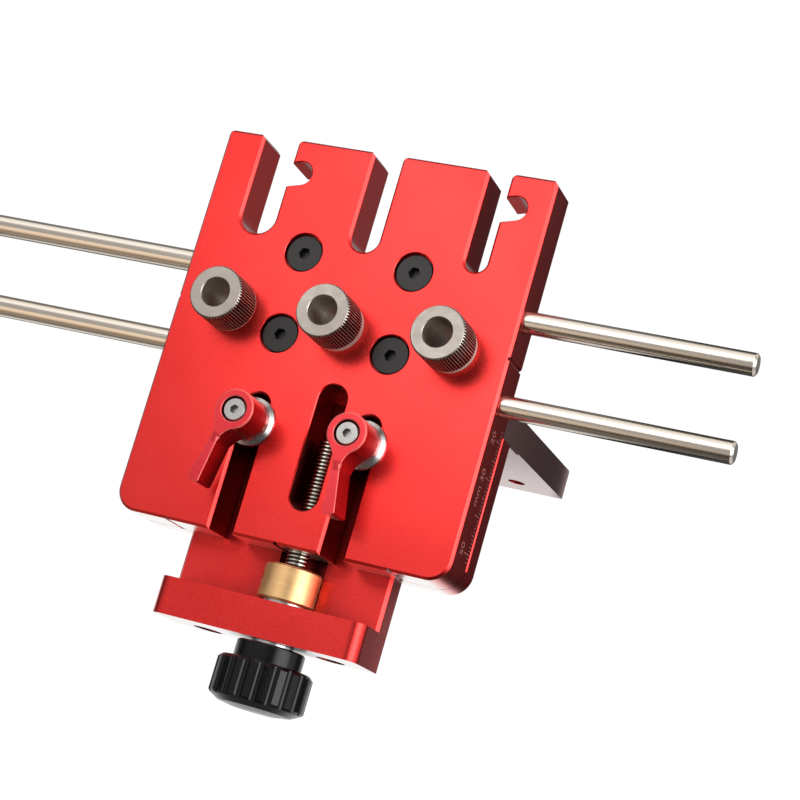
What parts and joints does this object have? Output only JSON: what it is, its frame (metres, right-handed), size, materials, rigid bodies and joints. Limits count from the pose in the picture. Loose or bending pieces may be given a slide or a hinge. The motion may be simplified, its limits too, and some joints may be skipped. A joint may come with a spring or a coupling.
{
  "type": "self centering doweling jig",
  "caption": "Doweling jig: slotted red guide plate with drill bushings on guide rods, sliding on a fence carriage set by a lead screw and knob, locked by ratchet levers.",
  "frame": {"origin": "centre bushing's axis at the front face of the guide plate", "axes": "+Z out of the plate's front along the drill bores, +X along the rods and the bushing row, +Y toward the slotted fingers and away from the knob"},
  "size_m": [0.23, 0.1516, 0.0904],
  "materials": {
    "anodised_red": "satin anodised",
    "lever_red": "satin powder coat",
    "bushing_steel": "hardened and ground",
    "rod_steel": "polished",
    "screw_steel": "zinc plated",
    "black_screw": "black oxide",
    "brass": "turned",
    "knob_black": "semi gloss"
  },
  "bodies": {
    "guide": {"guide_plate": "anodised_red", "rod_lock_upper_left": "black_screw", "rod_lock_upper_right": "black_screw", "rod_lock_lower_left": "black_screw", "rod_lock_lower_right": "black_screw"},
    "carriage": {"carriage_plate": "anodised_red", "fence": "anodised_red", "fence_screws": "black_screw", "end_bar": "anodised_red", "bar_screw_left": "black_screw", "bar_screw_right": "black_screw"},
    "drive": {"lead_screw": "screw_steel", "stop_collar": "brass", "collar_set_screw": "black_screw", "collar_washer": "screw_steel", "knob_washer": "screw_steel", "knob": "knob_black"},
    "lever_left_base": {"lever_left_insert": "screw_steel", "lever_left_cap_screw": "screw_steel", "lever_left_spring": "screw_steel"},
    "lever_left_grip": {"lever_left_handle": "lever_red"},
    "lever_right_base": {"lever_right_insert": "screw_steel", "lever_right_cap_screw": "screw_steel", "lever_right_spring": "screw_steel"},
    "lever_right_grip": {"lever_right_handle": "lever_red"},
    "slip_bushing_left": {"bushing_left": "bushing_steel"},
    "slip_bushing_centre": {"bushing_centre": "bushing_steel"},
    "slip_bushing_right": {"bushing_right": "bushing_steel"},
    "guide_rod_upper": {"rod_upper": "rod_steel"},
    "guide_rod_lower": {"rod_lower": "rod_steel"}
  },
  "joints": [
    {"name": "carriage_slide", "type": "slide", "parent": "guide", "child": "carriage", "axis": [0, 1, 0], "range_m": [-0.025, 0.0035]},
    {"name": "knob_spin", "type": "hinge", "parent": "carriage", "child": "drive", "pos_m": [0.0042, -0.0794, -0.008], "axis": [0, 1, 0], "range_deg": [-9000, 1260]},
    {"name": "lever_left_turn", "type": "hinge", "parent": "carriage", "child": "lever_left_base", "pos_m": [-0.016, -0.03, 0], "axis": [0, 0, 1], "range_deg": [-100, 50]},
    {"name": "lever_left_lift", "type": "slide", "parent": "lever_left_base", "child": "lever_left_grip", "axis": [0, 0, 1], "range_m": [0, 0.002], "stiffness_N_per_m": 400, "springref_m": -0.002, "deforming": ["lever_left_spring"]},
    {"name": "lever_right_turn", "type": "hinge", "parent": "carriage", "child": "lever_right_base", "pos_m": [0.016, -0.03, 0], "axis": [0, 0, 1], "range_deg": [-38, 113]},
    {"name": "lever_right_lift", "type": "slide", "parent": "lever_right_base", "child": "lever_right_grip", "axis": [0, 0, 1], "range_m": [0, 0.002], "stiffness_N_per_m": 400, "springref_m": -0.002, "deforming": ["lever_right_spring"]},
    {"name": "bushing_left_slip", "type": "slide", "parent": "guide", "child": "slip_bushing_left", "axis": [0, 0, 1], "range_m": [0, 0.011]},
    {"name": "bushing_centre_slip", "type": "slide", "parent": "guide", "child": "slip_bushing_centre", "axis": [0, 0, 1], "range_m": [-0.0021, 0.0089]},
    {"name": "bushing_right_slip", "type": "slide", "parent": "guide", "child": "slip_bushing_right", "axis": [0, 0, 1], "range_m": [-0.0017, 0.0093]},
    {"name": "rod_upper_slide", "type": "slide", "parent": "guide", "child": "guide_rod_upper", "axis": [1, 0, 0], "range_m": [-0.055, 0.065]},
    {"name": "rod_lower_slide", "type": "slide", "parent": "guide", "child": "guide_rod_lower", "axis": [1, 0, 0], "range_m": [-0.055, 0.065]}
  ],
  "couplings": [
    {"joint": "knob_spin", "follows": "carriage_slide", "rad_per_m": 6283.2}
  ]
}
